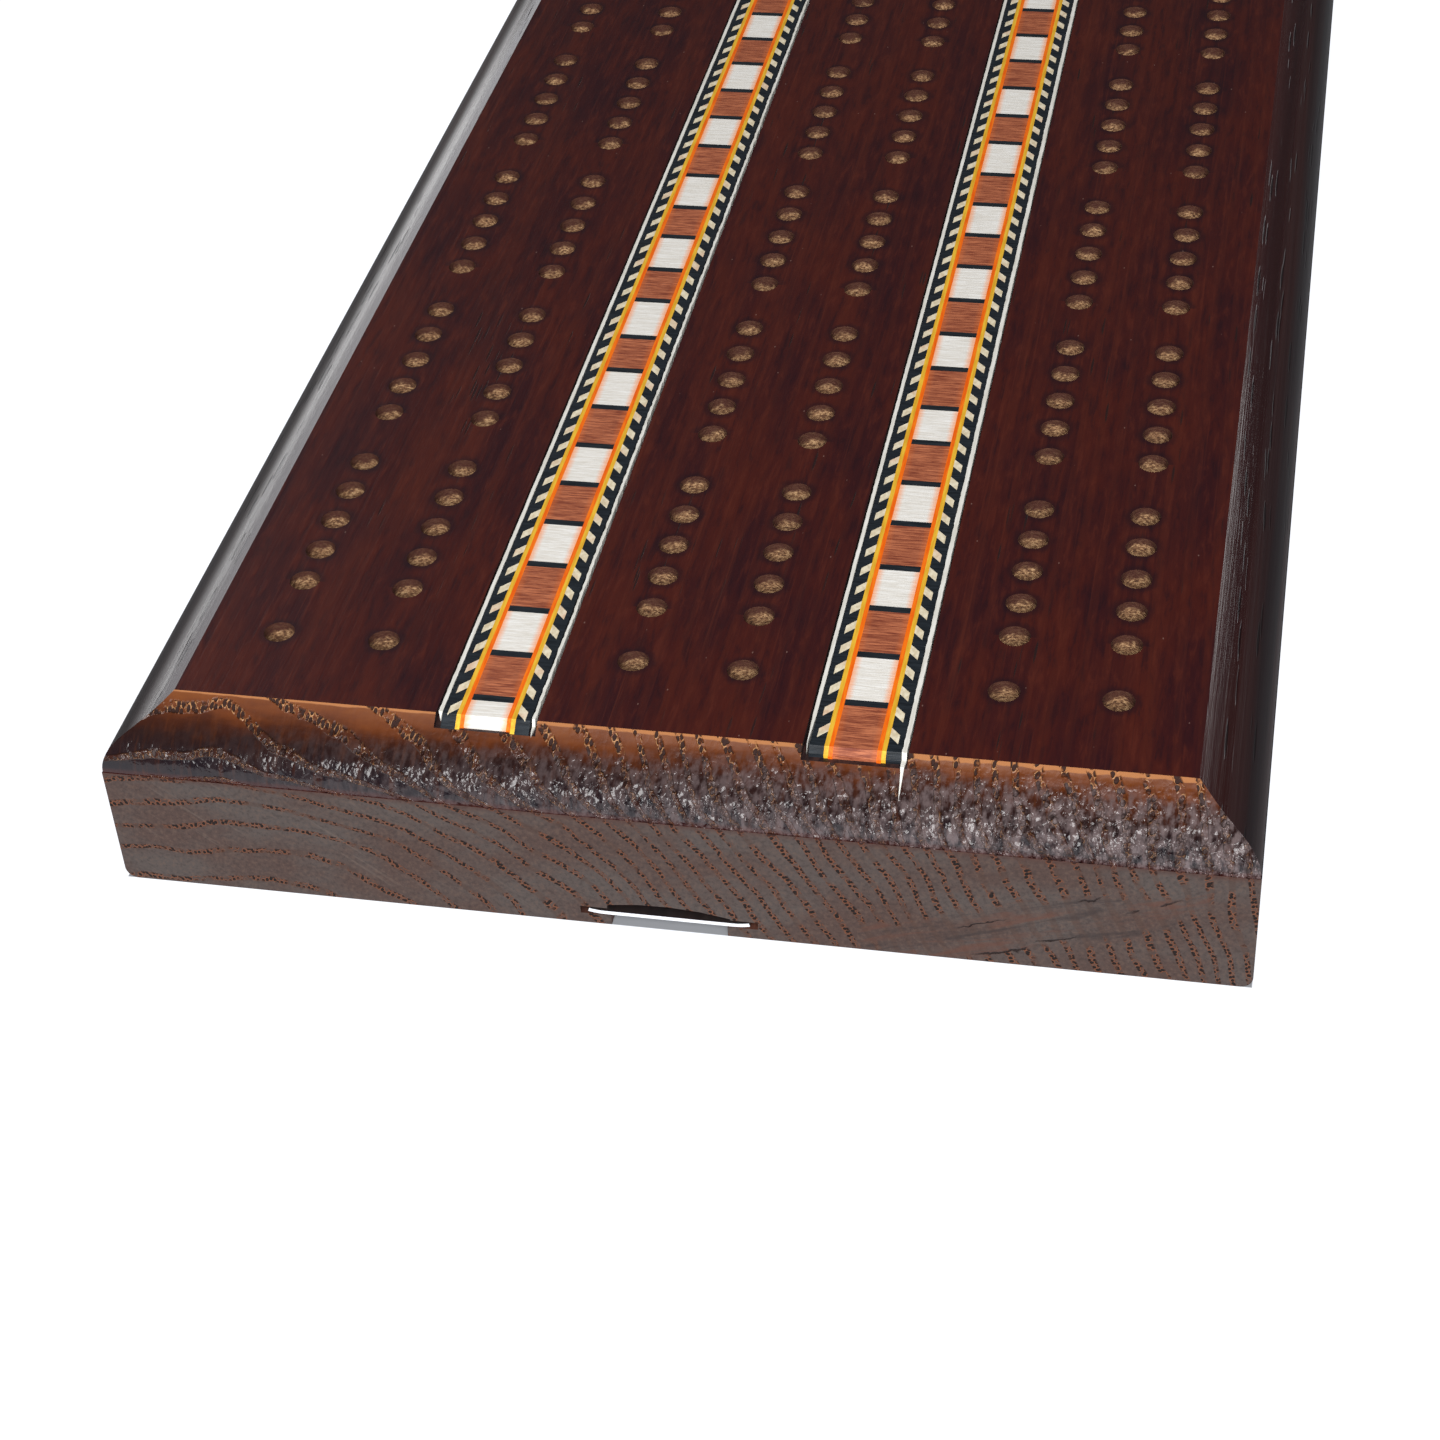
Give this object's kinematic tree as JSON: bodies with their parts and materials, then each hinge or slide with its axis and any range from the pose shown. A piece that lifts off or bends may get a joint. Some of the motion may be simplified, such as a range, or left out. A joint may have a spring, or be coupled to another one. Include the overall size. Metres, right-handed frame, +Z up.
{
  "type": "cribbage board",
  "caption": "Three-track wooden peg scoring board with moulded edges, inlaid marquetry strips, and a peg compartment with a sliding metal cover underneath.",
  "frame": {"origin": "centre of the underside, on the table", "axes": "+Y along the board away from the end where the cover slides out, +Z up out of the playing face"},
  "size_m": [0.1074, 0.3948, 0.019],
  "materials": {
    "dark_oak": "dark red-brown stain under satin varnish, end grain more open and matte",
    "cover_metal": "thin bright rolled plate",
    "inlay_white": "pale holly veneer, satin",
    "inlay_brown": "red-brown veneer with cross grain, satin",
    "inlay_black": "black dyed veneer, satin",
    "inlay_orange": "orange dyed veneer, satin",
    "inlay_yellow": "yellow dyed veneer, satin",
    "inlay_cream": "cream veneer, satin",
    "peg_brass": "turned, bright",
    "peg_steel": "turned, bright",
    "peg_black": "black plated, satin"
  },
  "bodies": {
    "board": {"board": "dark_oak", "left_inlay_white_tiles": "inlay_white", "left_inlay_brown_tiles": "inlay_brown", "left_inlay_black_bars": "inlay_black", "left_inlay_orange_lines": "inlay_orange", "left_inlay_yellow_lines": "inlay_yellow", "left_inlay_cream_slats": "inlay_cream", "left_inlay_black_combs": "inlay_black", "left_inlay_white_lines": "inlay_white", "right_inlay_white_tiles": "inlay_white", "right_inlay_brown_tiles": "inlay_brown", "right_inlay_black_bars": "inlay_black", "right_inlay_orange_lines": "inlay_orange", "right_inlay_yellow_lines": "inlay_yellow", "right_inlay_cream_slats": "inlay_cream", "right_inlay_black_combs": "inlay_black", "right_inlay_white_lines": "inlay_white"},
    "cover": {"slide_cover": "cover_metal"},
    "brass_peg_1": {"brass_peg_1": "peg_brass"},
    "brass_peg_2": {"brass_peg_2": "peg_brass"},
    "brass_peg_3": {"brass_peg_3": "peg_brass"},
    "steel_peg_1": {"steel_peg_1": "peg_steel"},
    "steel_peg_2": {"steel_peg_2": "peg_steel"},
    "steel_peg_3": {"steel_peg_3": "peg_steel"},
    "black_peg_1": {"black_peg_1": "peg_black"},
    "black_peg_2": {"black_peg_2": "peg_black"},
    "black_peg_3": {"black_peg_3": "peg_black"}
  },
  "joints": [
    {"name": "cover_slide", "type": "slide", "parent": "board", "child": "cover", "axis": [0, -1, 0], "range_m": [0, 0.12]},
    {"name": "brass_peg_1_play", "type": "slide", "parent": "board", "child": "brass_peg_1", "axis": [0, 1, 0], "range_m": [-0.0014, 0.0014]},
    {"name": "brass_peg_2_play", "type": "slide", "parent": "board", "child": "brass_peg_2", "axis": [0, 1, 0], "range_m": [-0.0014, 0.0014]},
    {"name": "brass_peg_3_play", "type": "slide", "parent": "board", "child": "brass_peg_3", "axis": [0, 1, 0], "range_m": [-0.0014, 0.0014]},
    {"name": "steel_peg_1_play", "type": "slide", "parent": "board", "child": "steel_peg_1", "axis": [0, 1, 0], "range_m": [-0.0014, 0.0014]},
    {"name": "steel_peg_2_play", "type": "slide", "parent": "board", "child": "steel_peg_2", "axis": [0, 1, 0], "range_m": [-0.0014, 0.0014]},
    {"name": "steel_peg_3_play", "type": "slide", "parent": "board", "child": "steel_peg_3", "axis": [0, 1, 0], "range_m": [-0.0014, 0.0014]},
    {"name": "black_peg_1_play", "type": "slide", "parent": "board", "child": "black_peg_1", "axis": [0, 1, 0], "range_m": [-0.0014, 0.0014]},
    {"name": "black_peg_2_play", "type": "slide", "parent": "board", "child": "black_peg_2", "axis": [0, 1, 0], "range_m": [-0.0014, 0.0014]},
    {"name": "black_peg_3_play", "type": "slide", "parent": "board", "child": "black_peg_3", "axis": [0, 1, 0], "range_m": [-0.0014, 0.0014]}
  ]
}
